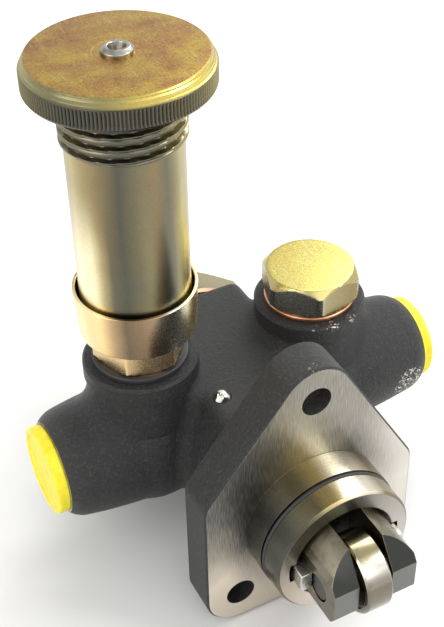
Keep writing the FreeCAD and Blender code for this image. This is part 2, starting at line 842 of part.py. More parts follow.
nodes = {
    "casting": casting(),
    "spigot_o_ring": spigotRing(),
    "tappet_snap_ring": snapRing(),
    "tappet_body": tappetBody(),
    "roller_pin": rollerPin(),
    "guide_block_left": guideBlock(-1),
    "guide_block_right": guideBlock(1),
    "tappet_roller": tappetRoller(),
    "spindle": spindle(),
    "piston": piston(),
    "piston_spring": pistonSpring(),
    "rear_plug": rearPlug(),
    "rear_plug_seal": rearSeal(),
    "sealing_ball": sealingBall(),
    "suction_valve": valve(inlet_axis),
    "suction_valve_spring": valveSpring(inlet_axis, stub_bottom_z),
    "delivery_valve": valve(outlet_axis),
    "delivery_valve_spring": valveSpring(outlet_axis, stub_bottom_z + plug_recess_depth),
    "delivery_plug": deliveryPlug(),
    "delivery_washer": deliveryWasher(),
    "primer_base": primerBase(),
    "primer_washer": primerWasher(),
    "primer_barrel": primerBarrel(),
    "rod_guide": rodGuide(),
    "primer_piston": primerPiston(),
    "primer_piston_seal": primerSeal(),
    "primer_nut": primerNut(),
    "primer_rod": primerRod(),
    "primer_knob": primerKnob(),
    "inlet_cap": portCap(inlet_end_x),
    "outlet_cap": portCap(outlet_end_x),
}

os.makedirs("parts", exist_ok=True)
for name, shape in nodes.items():
    shape.exportStep("parts/" + name + ".step")
    print(name, shape.isValid(), len(shape.Solids), round(shape.Volume, 1))
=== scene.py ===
import math

import bmesh
import bpy
import numpy as np
from mathutils import Matrix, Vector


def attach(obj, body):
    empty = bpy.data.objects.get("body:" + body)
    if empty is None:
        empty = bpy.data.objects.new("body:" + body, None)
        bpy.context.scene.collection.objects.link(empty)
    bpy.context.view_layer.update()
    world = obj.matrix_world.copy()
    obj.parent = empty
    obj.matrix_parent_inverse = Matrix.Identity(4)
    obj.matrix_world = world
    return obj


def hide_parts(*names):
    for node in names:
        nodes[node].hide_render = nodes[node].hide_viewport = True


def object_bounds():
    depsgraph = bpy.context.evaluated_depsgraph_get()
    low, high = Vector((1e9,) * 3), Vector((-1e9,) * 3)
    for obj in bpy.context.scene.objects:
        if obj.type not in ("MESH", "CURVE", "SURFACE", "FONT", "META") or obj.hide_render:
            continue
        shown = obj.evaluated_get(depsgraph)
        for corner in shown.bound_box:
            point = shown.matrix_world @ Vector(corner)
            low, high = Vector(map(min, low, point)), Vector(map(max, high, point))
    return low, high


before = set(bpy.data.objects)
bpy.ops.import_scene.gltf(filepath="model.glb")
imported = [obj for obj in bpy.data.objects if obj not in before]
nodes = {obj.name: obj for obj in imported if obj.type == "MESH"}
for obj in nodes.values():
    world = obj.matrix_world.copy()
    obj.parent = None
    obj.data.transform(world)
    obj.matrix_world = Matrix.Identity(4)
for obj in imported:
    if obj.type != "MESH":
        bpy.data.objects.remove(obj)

cadLow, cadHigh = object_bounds()
mm = 0.001
twoPi = 2 * math.pi
weldDistance = 2e-6  # in m: closer points become one

# Centres of the two valve towers, in mm
inletAxis = (-28.4, 51.0)
outletAxis = (28.4, 51.0)
towerTop = 32.5
print("frame loaded,", len(nodes), "nodes")


# Every object stays at the origin, unless a matrix places it
def newObject(name, data):
    made = bpy.data.objects.new(name, data)
    bpy.context.scene.collection.objects.link(made)
    return made


# The matrix of a camera or lamp that stands at place, in m, and looks along -back
def standing(place, right, up, back):
    matrix = np.eye(4)
    for column, values in enumerate((right, up, back, place)):
        matrix[:3, column] = values
    return Matrix(matrix.tolist())


# The photograph's view: place in mm, turn angles in degrees, lens and sensor in mm,
# nearest and farthest distance seen in m
cameraView = {"place": (-127.7, -197.7, 262.3), "pitch": 38.997, "yaw": -26.878,
              "roll": -1.198, "lens": 69.68, "sensor": 36, "clip": (0.01, 20)}


# The camera looks along -back; right and up are turned by the roll about that line
def addCamera(view):
    pitch, yaw, roll = (math.radians(view[key]) for key in ("pitch", "yaw", "roll"))
    back = np.array([math.sin(yaw) * math.cos(pitch), -math.cos(yaw) * math.cos(pitch),
                     math.sin(pitch)])
    right = np.array([math.cos(yaw), math.sin(yaw), 0.0])
    up = np.cross(back, right)
    data = bpy.data.cameras.new("camera")
    data.sensor_width = view["sensor"]
    data.lens = view["lens"]
    data.clip_start, data.clip_end = view["clip"]
    camera = newObject("camera", data)
    camera.matrix_world = standing(
        np.array(view["place"]) * mm, math.cos(roll) * right + math.sin(roll) * up,
        math.cos(roll) * up - math.sin(roll) * right, back)
    bpy.context.scene.camera = camera


addCamera(cameraView)
print("camera placed")


# Links a socket to another node's output, or sets its constant value
def feed(tree, socket, value):
    if isinstance(value, bpy.types.NodeSocket):
        tree.links.new(value, socket)
    elif socket.type == "RGBA":
        socket.default_value = (*value, 1.0)
    else:
        socket.default_value = value


# Adds a shader node with its settings and inputs
def put(tree, kind, inputs=None, **settings):
    node = tree.nodes.new("ShaderNode" + kind)
    for key, value in settings.items():
        setattr(node, key, value)
    for key, value in (inputs or {}).items():
        feed(tree, node.inputs[key], value)
    return node


def calc(tree, operation, first, second=0.0, third=0.0):
    return put(tree, "Math", {0: first, 1: second, 2: third}, operation=operation).outputs[0]


# The x, y and z of a vector
def split(tree, vector):
    return put(tree, "SeparateXYZ", {0: vector}).outputs


# One number as all three parts of a colour
def grey(tree, value):
    return put(tree, "CombineXYZ", {0: value, 1: value, 2: value}).outputs[0]


# The true direction that a face looks in
def facing(tree):
    return put(tree, "NewGeometry").outputs["True Normal"]


# Object coordinates in millimetres
def placeInMm(tree):
    coordinates = put(tree, "TexCoord").outputs["Object"]
    scaled = put(tree, "VectorMath", {0: coordinates, 3: 1 / mm}, operation="SCALE")
    return scaled.outputs[0]


def noise(tree, place, scale, detail=3.0, roughness=0.5, distortion=0.0):
    node = put(tree, "TexNoise", {"Vector": place, "Scale": scale, "Detail": detail,
                                  "Roughness": roughness, "Distortion": distortion})
    return node.outputs[0]


# Noise drawn out into scratches: turned about the axes, then stretched by the given shares
def scratches(tree, place, turn, stretch, scale, detail):
    drawn = put(tree, "Mapping", {"Vector": place, "Rotation": turn, "Scale": stretch})
    return noise(tree, drawn.outputs[0], scale, detail)


# Noise that changes only with one number, such as a height or a distance from an axis
def lineNoise(tree, value, scale):
    node = put(tree, "TexNoise", {"W": value, "Scale": scale, "Detail": 3.0},
               noise_dimensions="1D")
    return node.outputs[0]


# Colours along a number from 0 to 1, each stop a place and a colour
def ramp(tree, value, stops):
    node = put(tree, "ValToRGB", {"Fac": value})
    elements = node.color_ramp.elements
    while len(elements) < len(stops):
        elements.new(0.5)
    for element, (position, colour) in zip(elements, stops):
        element.position = position
        element.color = (*colour, 1.0)
    return node.outputs["Color"]


def blendColour(tree, share, first, second, how="MIX"):
    node = put(tree, "Mix", data_type="RGBA", blend_type=how)
    colours = [s for s in node.inputs if s.type == "RGBA"]
    for socket, value in zip([node.inputs[0], *colours], (share, first, second)):
        feed(tree, socket, value)
    return next(s for s in node.outputs if s.type == "RGBA")


# Goes smoothly from 0 to 1 as value goes from low to high
def step(tree, value, low, high):
    node = put(tree, "MapRange", {"Value": value, "From Min": low, "From Max": high},
               interpolation_type="SMOOTHSTEP")
    return node.outputs[0]


# Relief of the given depth in mm, over the relief that is under it
def bump(tree, height, depth, under=None):
    inputs = {"Height": height, "Distance": depth * mm, "Strength": 1.0}
    if under is not None:
        inputs["Normal"] = under
    return put(tree, "Bump", inputs).outputs[0]


# Distance from a line through centre, which runs along one axis of the object
def distanceFrom(tree, place, centre, axis="Z"):
    outputs = split(tree, place)
    others = [letter for letter in "XYZ" if letter != axis]
    away = [calc(tree, "SUBTRACT", outputs[letter], value)
            for letter, value in zip(others, centre)]
    total = calc(tree, "ADD", *[calc(tree, "MULTIPLY", part, part) for part in away])
    return calc(tree, "SQRT", total)


def startMaterial(name):
    made = bpy.data.materials.new(name)
    made.use_nodes = True
    tree = made.node_tree
    return made, tree, tree.nodes["Principled BSDF"], placeInMm(tree)


def connect(tree, shader, **values):
    names = {"colour": "Base Color", "metal": "Metallic", "rough": "Roughness",
             "normal": "Normal", "soft": "Subsurface Weight", "softScale": "Subsurface Scale",
             "tangent": "Tangent", "stretched": "Anisotropic"}
    for key, value in values.items():
        feed(tree, shader.inputs[names[key]], value)


# Share of a full turn round a line through centre, from the first named axis to the second
def turnShare(tree, place, centre, axes="XY"):
    outputs = split(tree, place)
    first, second = (calc(tree, "SUBTRACT", outputs[letter], value)
                     for letter, value in zip(axes, centre))
    return calc(tree, "FRACT", calc(tree, "MULTIPLY_ADD", calc(
        tree, "ARCTAN2", second, first), 1 / twoPi, 1.0))


# Painted light: colours round an axis at angles in degrees that stand in for reflected
# brightness, highlights and shade, the first one again at the full turn; wander is the share
# of a turn by which slow noise shifts them
def paintedLightStreaks(tree, place, centre, stops, wander=0.02, axes="XY"):
    drift = calc(tree, "MULTIPLY_ADD", noise(tree, place, 0.05), wander, -wander / 2)
    share = calc(tree, "ADD", turnShare(tree, place, centre, axes), drift)
    full = [*stops, (360, stops[0][1])]
    return ramp(tree, share, [(angle / 360, colour) for angle, colour in full])


# Black paint over a sand casting, bare where a cutter has been: the flange's face, the
# spigot and the ends of the port bosses. On the bare metal, painted light goes round the
# spigot's axis: painted shade near it and painted reflections further out on the face, then
# a painted highlight band on the spigot and painted reflections on its front ring. Scales
# are per mm, depths of relief in mm
castingLook = {"paint": (0.012, 0.012, 0.0118), "speck": (0.13, 0.13, 0.125),
               "facePaintedLight": [(0, (0.70, 0.66, 0.60)), (35, (0.56, 0.51, 0.46)),
                               (62, (0.27, 0.25, 0.215)), (95, (0.22, 0.205, 0.165)),
                               (130, (0.10, 0.10, 0.085)), (160, (0.10, 0.10, 0.085)),
                               (185, (0.36, 0.32, 0.26)), (205, (0.90, 0.79, 0.66)),
                               (232, (0.72, 0.64, 0.54)),
                               (262, (0.62, 0.56, 0.48)), (320, (0.66, 0.60, 0.54))],
               "facePaintedShadeNear": [(0, (0.50, 0.47, 0.42)), (35, (0.24, 0.22, 0.19)),
                            (62, (0.10, 0.10, 0.085)), (90, (0.22, 0.20, 0.15)),
                            (112, (0.30, 0.27, 0.20)), (135, (0.10, 0.10, 0.08)),
                            (190, (0.08, 0.08, 0.065)), (222, (0.34, 0.29, 0.24)),
                            (270, (0.50, 0.44, 0.38))],
               "spigotPaintedHighlight": [(0, (0.16, 0.15, 0.125)), (30, (0.15, 0.135, 0.105)),
                                 (52, (0.26, 0.215, 0.12)), (64, (0.86, 0.80, 0.66)),
                                 (84, (0.95, 0.88, 0.70)), (97, (0.52, 0.41, 0.17)),
                                 (112, (0.20, 0.175, 0.10)), (140, (0.085, 0.085, 0.07)),
                                 (175, (0.10, 0.10, 0.085)), (205, (0.26, 0.22, 0.13)),
                                 (290, (0.20, 0.18, 0.15))],
               "ringPaintedLight": [(0, (0.50, 0.47, 0.43)), (40, (0.36, 0.34, 0.30)),
                               (75, (0.20, 0.20, 0.18)), (120, (0.13, 0.125, 0.10)),
                               (160, (0.16, 0.15, 0.12)), (195, (0.42, 0.36, 0.30)),
                               (230, (0.62, 0.55, 0.48)), (300, (0.50, 0.46, 0.42))],
               "nearTo": (22.0, 33.0), "wander": 0.06, "spigotWander": 0.03,
               "ringY": -17.2, "spigotDark": (0.66, 0.64, 0.60), "faceBright": (0.95, 0.92, 0.88),
               "coarse": 0.62, "fine": 2.6, "rub": 1.3, "turnLines": 5.0, "ringLines": 4.0,
               "lumpDepth": 0.5, "grainDepth": 0.24, "lineDepth": 0.012,
               "faceTurn": (0, 0.7, 0), "faceStretch": (5.0, 0.4, 0.22),
               "paintRough": 0.40, "bareRough": 0.38, "stretched": 0.8,
               "inletEnd": -58.9, "outletEnd": 64.9}


# Where the paint has been knocked off: middle of the place in mm, its size in mm, its amount
wornPlaces = [
    ((21.5, 36.2, 32.3), 3.0, 0.42), ((27.0, 34.7, 32.4), 4.0, 0.44),
    ((34.0, 35.2, 32.2), 3.5, 0.42), ((54.5, 43.5, 15.2), 8.0, 0.30),
    ((59.0, 37.5, 7.5), 7.0, 0.24), ((57.0, 34.8, -3.0), 11.0, 0.46),
    ((-0.5, 1.2, 53.0), 4.5, 0.42), ((4.0, 11.6, 52.0), 5.0, 0.34),
]


# Share of bare metal: all of it on the cut faces, patches of rubbing at the worn places
def bareShare(tree, place, rub, look, worn):
    outputs = split(tree, place)
    front = calc(tree, "SUBTRACT", 1.0, step(tree, outputs["Y"], 0.02, 0.12))
    bare = calc(tree, "MAXIMUM", front, calc(
        tree, "MAXIMUM", calc(tree, "LESS_THAN", outputs["X"], look["inletEnd"]),
        calc(tree, "GREATER_THAN", outputs["X"], look["outletEnd"])))
    for centre, size, amount in worn:
        apart = put(tree, "VectorMath", {0: place, 1: centre}, operation="DISTANCE").outputs[1]
        near = calc(tree, "MULTIPLY", calc(tree, "SUBTRACT", 1.0, step(
            tree, apart, size * 0.4, size)), amount)
        bare = calc(tree, "MAXIMUM", bare, step(tree, calc(tree, "ADD", rub, near), 0.98, 1.04))
    return bare


# Black with paler rubbing all over and pale specks in some parts
def paintColour(tree, place, rub, fine, look):
    pale = calc(tree, "MULTIPLY", step(tree, rub, 0.50, 0.66), 0.30)
    specks = calc(tree, "MULTIPLY", step(tree, fine, 0.60, 0.74), step(tree, noise(
        tree, place, 0.11), 0.42, 0.62))
    return blendColour(tree, calc(tree, "MAXIMUM", specks, pale), look["paint"], look["speck"])


# The face's painted light passes from the set near the spigot, with its painted shade, to
# the one further out with the distance from the spigot's axis, and carries bright scratches;
# the spigot's painted highlight band is darkened by its turning lines
def bareColour(tree, place, y, away, onSpigot, faceLines, turnLines, look):
    def around(name, wander):
        return paintedLightStreaks(tree, place, (0.0, 0.0), look[name], look[wander], "XZ")

    # Painted shade near the spigot passes to painted reflections further out on the face
    face = blendColour(tree, step(tree, away, *look["nearTo"]), around("facePaintedShadeNear", "wander"),
                       around("facePaintedLight", "wander"))
    face = blendColour(tree, calc(tree, "MULTIPLY", step(tree, faceLines, 0.35, 0.8), 0.25), face,
                       look["faceBright"])
    spigot = blendColour(tree, step(tree, turnLines, 0.35, 0.75), around(
        "spigotPaintedHighlight", "spigotWander"), look["spigotDark"], "MULTIPLY")
    spigot = blendColour(tree, calc(tree, "LESS_THAN", y, look["ringY"]), spigot,
                         around("ringPaintedLight", "spigotWander"))
    return blendColour(tree, onSpigot, face, spigot)


def castingMaterial(look, worn):
    made, tree, shader, place = startMaterial("blackCasting")
    y = split(tree, place)["Y"]
    coarse = noise(tree, place, look["coarse"], 4.0, 0.6)
    fine = noise(tree, place, look["fine"], 3.0, 0.65)
    rub = noise(tree, place, look["rub"], 5.0, 0.7)
    faceLines = scratches(tree, place, look["faceTurn"], look["faceStretch"], 1.0, 3.0)
    away = distanceFrom(tree, place, (0.0, 0.0), "Y")
    turnLines = lineNoise(tree, y, look["turnLines"])
    ringLines = lineNoise(tree, away, look["ringLines"])
    onSpigot = calc(tree, "LESS_THAN", y, -0.15)
    bare = bareShare(tree, place, rub, look, worn)
    paintRough = calc(tree, "MULTIPLY_ADD", fine, 0.30, look["paintRough"] - 0.12)
    bareRough = calc(tree, "MULTIPLY_ADD", faceLines, 0.2, look["bareRough"] - 0.1)
    rough = put(tree, "Mix", {0: bare, 2: paintRough, 3: calc(
        tree, "SUBTRACT", bareRough, calc(tree, "MULTIPLY", onSpigot, 0.08))}).outputs[0]
    lumps = bump(tree, calc(tree, "ADD", coarse, calc(tree, "MULTIPLY", rub, 0.6)),
                 look["lumpDepth"])
    grains = bump(tree, fine, look["grainDepth"], lumps)
    cuts = calc(tree, "ADD", calc(tree, "MULTIPLY", onSpigot, turnLines),
                calc(tree, "MULTIPLY", calc(tree, "SUBTRACT", 1.0, onSpigot), calc(
                    tree, "ADD", faceLines, calc(tree, "MULTIPLY", ringLines, 0.3))))
    turned = bump(tree, cuts, look["lineDepth"])
    normal = put(tree, "Mix", {0: bare, 4: grains, 5: turned}, data_type="VECTOR").outputs[1]
    colour = blendColour(tree, bare, paintColour(tree, place, rub, fine, look), bareColour(
        tree, place, y, away, onSpigot, faceLines, turnLines, look))
    # The spigot's round walls draw highlights out along its axis, its front doesn't
    wall = calc(tree, "LESS_THAN", calc(tree, "ABSOLUTE", split(tree, facing(tree))["Y"]), 0.3)
    connect(tree, shader, colour=colour, metal=bare, rough=rough, normal=normal,
            tangent=put(tree, "CombineXYZ", {1: 1.0}).outputs[0],
            stretched=calc(tree, "MULTIPLY", calc(tree, "MULTIPLY", onSpigot, wall),
                           look["stretched"]))
    return made


# Yellow zinc plating: a golden film with painted reflections, bright and dark streaks round
# the axis, cloudy patches and fine specks, over turning lines. Each band passes to painted
# reflections of its own from a low to a high height. A look may have a slope, a painted
# highlight on what faces upwards, a top with tints and scratches of its own, and flutes,
# with painted shade between their crests and painted highlights on them
def filmMaterial(name, look):
    made, tree, shader, place = startMaterial(name)
    centre = look["centre"]
    height = split(tree, place)["Z"]
    away = distanceFrom(tree, place, centre)
    cloud = noise(tree, place, 0.10, 4.0, 0.6, 0.4)
    specks = noise(tree, place, 1.8, 4.0, 0.65)
    # Painted reflections: bright and dark streaks round the axis
    colour = paintedLightStreaks(tree, place, centre, look["paintedLightStreaks"])
    for low, high, stops in look["paintedLightBands"]:
        colour = blendColour(tree, step(tree, height, low, high), colour, paintedLightStreaks(
            tree, place, centre, stops))
    # Painted highlight on the faces that look upwards
    if "paintedSlopeHighlight" in look:
        up = split(tree, facing(tree))["Z"]
        colour = blendColour(tree, step(tree, up, 0.15, 0.35), colour, look["paintedSlopeHighlight"])
    colour = blendColour(tree, look["tintShare"], colour, ramp(tree, cloud, look["tints"]),
                         "MULTIPLY")
    if "top" in look:
        lay = ramp(tree, calc(tree, "MULTIPLY_ADD", specks, 0.55, calc(
            tree, "MULTIPLY_ADD", cloud, 1.0, -0.28)), look["topTints"])
        scratch = scratches(tree, place, (0, 0, 0.5), (1.0, 0.14, 1.0), 1.1, 4.0)
        lay = blendColour(tree, calc(tree, "MULTIPLY", step(tree, scratch, 0.60, 0.70), 0.35),
                          lay, look["topScratch"])
        onTop = calc(tree, "MULTIPLY", calc(tree, "LESS_THAN", away, look["topRadius"]),
                     calc(tree, "GREATER_THAN", height, look["top"] - 0.3))
        colour = blendColour(tree, onTop, colour, lay)
    dust = grey(tree, calc(tree, "MULTIPLY_ADD", specks, 0.7, 0.65))
    colour = blendColour(tree, look["mottle"], colour, dust, "MULTIPLY")
    if "flutes" in look:
        low, high = look["fluteBand"]
        wave = calc(tree, "COSINE", calc(tree, "MULTIPLY", turnShare(
            tree, place, centre), twoPi * look["flutes"]))
        inBand = calc(tree, "MULTIPLY", calc(tree, "GREATER_THAN", height, low),
                      calc(tree, "LESS_THAN", height, high))
        # Painted shade between the flutes' crests and painted highlights on them
        fluteShadeAndHighlight = calc(tree, "MULTIPLY_ADD", calc(tree, "MULTIPLY", wave, inBand), 0.45, 1.0)
        colour = blendColour(tree, 1.0, colour, grey(tree, fluteShadeAndHighlight), "MULTIPLY")
    lines = lineNoise(tree, away if "top" in look else height, 7.0)
    connect(tree, shader, colour=colour, metal=1.0,
            rough=calc(tree, "MULTIPLY_ADD", specks, 0.2, look["rough"] - 0.1),
            normal=bump(tree, lines, look["groove"], bump(tree, specks, look["grain"])))
    return made


# What the films share; mottle is the share of dust, grain and groove are depths in mm
filmCommon = {"paintedLightBands": [], "mottle": 0.6, "grain": 0.006, "groove": 0.005,
              "tints": [(0.25, (0.80, 0.86, 0.84)), (0.45, (1.0, 0.97, 0.88)),
                        (0.58, (1.0, 0.86, 0.70)), (0.75, (0.88, 0.92, 0.80))]}
# Each film's streaks and bands are painted reflections and highlights round its axis
knobFilm = {**filmCommon, "centre": inletAxis, "rough": 0.3, "tintShare": 0.5,
            "paintedLightStreaks": [(0, (0.22, 0.19, 0.1)), (60, (0.12, 0.11, 0.075)),
                        (150, (0.2, 0.18, 0.1)), (190, (0.12, 0.11, 0.075)),
                        (215, (0.075, 0.074, 0.060)), (262, (0.075, 0.075, 0.064)),
                        (290, (0.12, 0.11, 0.075)), (315, (0.22, 0.19, 0.1)),
                        (345, (0.2, 0.17, 0.1))],
            "flutes": 156, "fluteBand": (120.4, 125.3),
            "paintedLightBands": [(125.5, 125.8, [(0, (0.62, 0.54, 0.2)), (90, (0.5, 0.44, 0.18)),
                                      (170, (0.38, 0.34, 0.17)), (205, (0.2, 0.19, 0.11)),
                                      (235, (0.26, 0.24, 0.12)), (262, (0.54, 0.45, 0.13)),
                                      (300, (0.64, 0.54, 0.15)), (340, (0.6, 0.5, 0.18))])],
            "top": 128.2, "topRadius": 22.8,
            "topTints": [(0.26, (0.2, 0.115, 0.052)), (0.4, (0.34, 0.17, 0.050)),
                         (0.52, (0.37, 0.23, 0.060)), (0.66, (0.46, 0.31, 0.055)),
                         (0.8, (0.26, 0.165, 0.06))],
            "topScratch": (0.6, 0.5, 0.28), "mottle": 0.85}
barrelFilm = {**filmCommon, "centre": inletAxis, "rough": 0.31, "tintShare": 0.35,
              "paintedLightStreaks": [(0, (0.4, 0.33, 0.17)), (30, (0.16, 0.15, 0.1)),
                          (70, (0.46, 0.4, 0.22)), (110, (0.2, 0.18, 0.11)),
                          (150, (0.34, 0.3, 0.17)), (172, (0.72, 0.66, 0.43)),
                          (186, (1.0, 0.95, 0.7)), (204, (0.98, 0.9, 0.6)),
                          (216, (0.44, 0.36, 0.19)), (226, (0.15, 0.14, 0.095)),
                          (240, (0.105, 0.105, 0.085)), (254, (0.17, 0.155, 0.1)),
                          (266, (0.27, 0.24, 0.14)), (275, (0.3, 0.235, 0.13)),
                          (282, (0.19, 0.185, 0.14)), (292, (0.2, 0.195, 0.15)),
                          (301, (0.44, 0.39, 0.19)), (309, (0.66, 0.6, 0.3)),
                          (318, (0.42, 0.33, 0.15)), (330, (0.6, 0.52, 0.3))],
              "paintedLightBands": [(70.0, 98.0, [(0, (0.34, 0.28, 0.15)), (90, (0.22, 0.2, 0.12)),
                                      (165, (0.34, 0.29, 0.17)), (186, (0.52, 0.44, 0.24)),
                                      (204, (0.36, 0.29, 0.15)), (218, (0.25, 0.2, 0.11)),
                                      (240, (0.1, 0.1, 0.08)), (262, (0.2, 0.18, 0.11)),
                                      (275, (0.24, 0.19, 0.11)), (288, (0.15, 0.145, 0.105)),
                                      (300, (0.26, 0.23, 0.13)), (309, (0.4, 0.36, 0.19)),
                                      (330, (0.36, 0.3, 0.16))]),
                        (104.8, 105.3, [(0, (0.24, 0.21, 0.13)), (120, (0.18, 0.17, 0.12)),
                                        (190, (0.22, 0.2, 0.14)), (240, (0.12, 0.12, 0.095)),
                                        (280, (0.15, 0.14, 0.1)), (312, (0.34, 0.3, 0.17))])]}
baseFilm = {**filmCommon, "centre": inletAxis, "rough": 0.26, "tintShare": 0.4,
            "paintedLightStreaks": [(0, (0.46, 0.36, 0.2)), (90, (0.4, 0.32, 0.17)),
                        (180, (0.76, 0.58, 0.34)), (225, (0.86, 0.62, 0.34)),
                        (252, (0.66, 0.49, 0.28)), (268, (0.86, 0.64, 0.38)),
                        (292, (0.98, 0.74, 0.44)), (312, (0.5, 0.39, 0.22))],
            "paintedLightBands": [(44.0, 44.1, [(0, (0.7, 0.55, 0.26)), (40, (0.16, 0.13, 0.08)),
                                    (90, (0.62, 0.5, 0.26)), (140, (0.4, 0.3, 0.15)),
                                    (170, (0.8, 0.66, 0.38)), (190, (1.0, 0.86, 0.5)),
                                    (212, (0.92, 0.72, 0.38)), (225, (0.5, 0.36, 0.2)),
                                    (238, (0.18, 0.14, 0.09)), (252, (0.26, 0.185, 0.115)),
                                    (264, (0.4, 0.29, 0.19)), (273, (0.46, 0.42, 0.32)),
                                    (282, (0.62, 0.62, 0.52)), (296, (0.7, 0.66, 0.5)),
                                    (304, (1.0, 0.86, 0.46)), (322, (1.0, 0.82, 0.42))])],
            "grain": 0.002, "mottle": 0.25}
plugFilm = {**filmCommon, "centre": outletAxis, "rough": 0.26, "tintShare": 0.3,
            "paintedLightStreaks": [(0, (0.4, 0.33, 0.17)), (80, (0.44, 0.36, 0.18)),
                        (170, (0.42, 0.4, 0.3)), (190, (0.44, 0.43, 0.37)),
                        (250, (0.48, 0.47, 0.42)), (258, (0.36, 0.31, 0.17)),
                        (300, (0.25, 0.205, 0.1)), (340, (0.34, 0.26, 0.13))],
            "top": 43.8, "topRadius": 13.2,
            "topTints": [(0.3, (0.36, 0.31, 0.095)), (0.5, (0.4, 0.355, 0.11)),
                         (0.62, (0.42, 0.33, 0.085)), (0.75, (0.37, 0.34, 0.13))],
            "topScratch": (0.6, 0.56, 0.3), "paintedSlopeHighlight": (0.5, 0.44, 0.2)}
rearFilm = {**filmCommon, "centre": (0.0, 86.0), "rough": 0.3, "tintShare": 0.5,
            "paintedLightStreaks": [(0, (0.34, 0.3, 0.17)), (90, (0.4, 0.33, 0.17)),
                        (180, (0.3, 0.26, 0.15)), (270, (0.22, 0.2, 0.12))]}


# Bare steel with turning lines along one axis of the object. Stains pass from colour to
# dark, painted reflections and highlights tint it in bands by angle round the axis, and
# painted shade tints the faces that look in given directions
def steelMaterial(name, colour, dark, rough, axis="Y", groove=0.004, paintedShades=(), paintedLightBands=(),
                  centre=(0.0, 0.0)):
    made, tree, shader, place = startMaterial(name)
    lines = lineNoise(tree, split(tree, place)[axis], 6.0)
    stains = noise(tree, place, 0.25, 4.0, 0.6)
    specks = noise(tree, place, 2.5)
    tint = blendColour(tree, step(tree, stains, 0.45, 0.75), colour, dark)
    if paintedLightBands:
        others = "".join(letter for letter in "XYZ" if letter != axis)
        tint = blendColour(tree, 1.0, tint, paintedLightStreaks(tree, place, centre, paintedLightBands, 0.03, others),
                           "MULTIPLY")
    for direction, share in paintedShades:
        alike = put(tree, "VectorMath", {0: facing(tree), 1: direction}, operation="DOT_PRODUCT")
        tint = blendColour(tree, step(tree, alike.outputs["Value"], 0.93, 0.97), tint, share)
    roughness = calc(tree, "MULTIPLY_ADD", specks, 0.16, rough - 0.08)
    connect(tree, shader, colour=tint, metal=1.0, rough=roughness,
            normal=bump(tree, lines, groove))
    return made


def rubberMaterial(name, colour, dust=(0.03, 0.03, 0.032)):
    made, tree, shader, place = startMaterial(name)
    specks = noise(tree, place, 4.0)
    connect(tree, shader, colour=blendColour(tree, specks, colour, dust),
            rough=calc(tree, "MULTIPLY_ADD", specks, 0.2, 0.4), normal=bump(tree, specks, 0.02))
    return made


def plasticMaterial(name, colour, shade):
    made, tree, shader, place = startMaterial(name)
    cloud = noise(tree, place, 0.35)
    skin = noise(tree, place, 3.0, 2.0)
    connect(tree, shader, colour=blendColour(tree, step(tree, cloud, 0.35, 0.75), colour, shade),
            rough=calc(tree, "MULTIPLY_ADD", skin, 0.15, 0.32), normal=bump(tree, skin, 0.015),
            soft=0.15, softScale=1 * mm)
    return made


# Painted highlight and reflections of the roller, in bands by angle round its axis; a steel
# is name, colour, stain and roughness
rollerPaintedLight = [(0, (0.40, 0.38, 0.34)), (80, (0.30, 0.28, 0.18)), (108, (0.42, 0.38, 0.22)),
               (122, (0.85, 0.80, 0.66)), (136, (0.92, 0.90, 0.86)), (148, (0.50, 0.46, 0.40)),
               (160, (0.24, 0.21, 0.17)), (182, (0.28, 0.25, 0.21)), (205, (0.34, 0.34, 0.28)),
               (260, (0.40, 0.38, 0.34))]
finishes = {
    "casting": castingMaterial(castingLook, wornPlaces),
    "knob": filmMaterial("goldenKnob", knobFilm),
    "barrel": filmMaterial("goldenBarrel", barrelFilm),
    "base": filmMaterial("goldenBase", baseFilm),
    "plug": filmMaterial("goldenPlug", plugFilm),
    "rearPlug": filmMaterial("goldenRearPlug", rearFilm),
    "roller": steelMaterial("groundSteel", (0.80, 0.79, 0.76), (0.66, 0.62, 0.54), 0.20, "X",
                            paintedLightBands=rollerPaintedLight, centre=(-24.7, 0.0)),
    "tappet": steelMaterial("oiledSteel", (0.24, 0.215, 0.15), (0.17, 0.15, 0.105), 0.34),
    # The fork: painted shade, very dark on faces that look forwards and up, grey on those that
    # look straight forwards
    "fork": steelMaterial("oiledFork", (0.22, 0.20, 0.145), (0.16, 0.14, 0.10), 0.30,
                          paintedShades=[((0, -0.707, 0.707), (0.055, 0.057, 0.052)),
                                  ((0, -1, 0), (0.16, 0.165, 0.155))]),
    "bright": steelMaterial("brightSteel", (0.70, 0.69, 0.67), (0.50, 0.48, 0.45), 0.22, "Z"),
    "collar": steelMaterial("rolledSteel", (0.36, 0.34, 0.30), (0.20, 0.18, 0.14), 0.30, "Z"),
    "ball": steelMaterial("ballSteel", (0.80, 0.80, 0.79), (0.60, 0.58, 0.54), 0.12, "Z"),
    "slide": steelMaterial("slideSteel", (0.56, 0.56, 0.52), (0.44, 0.44, 0.40), 0.28, "X",
                           groove=0.0008),
    "pin": steelMaterial("pinSteel", (0.10, 0.10, 0.09), (0.07, 0.07, 0.06), 0.34, "X"),
    "darkRing": rubberMaterial("darkRing", (0.020, 0.019, 0.018)),
    "copper": steelMaterial("softCopper", (0.78, 0.42, 0.25), (0.55, 0.26, 0.14), 0.35, "Z"),
    "rubber": rubberMaterial("blackRubber", (0.012, 0.012, 0.013)),
    "cap": plasticMaterial("yellowPlastic", (0.92, 0.80, 0.015), (0.82, 0.68, 0.01)),
}
print("finishes made")

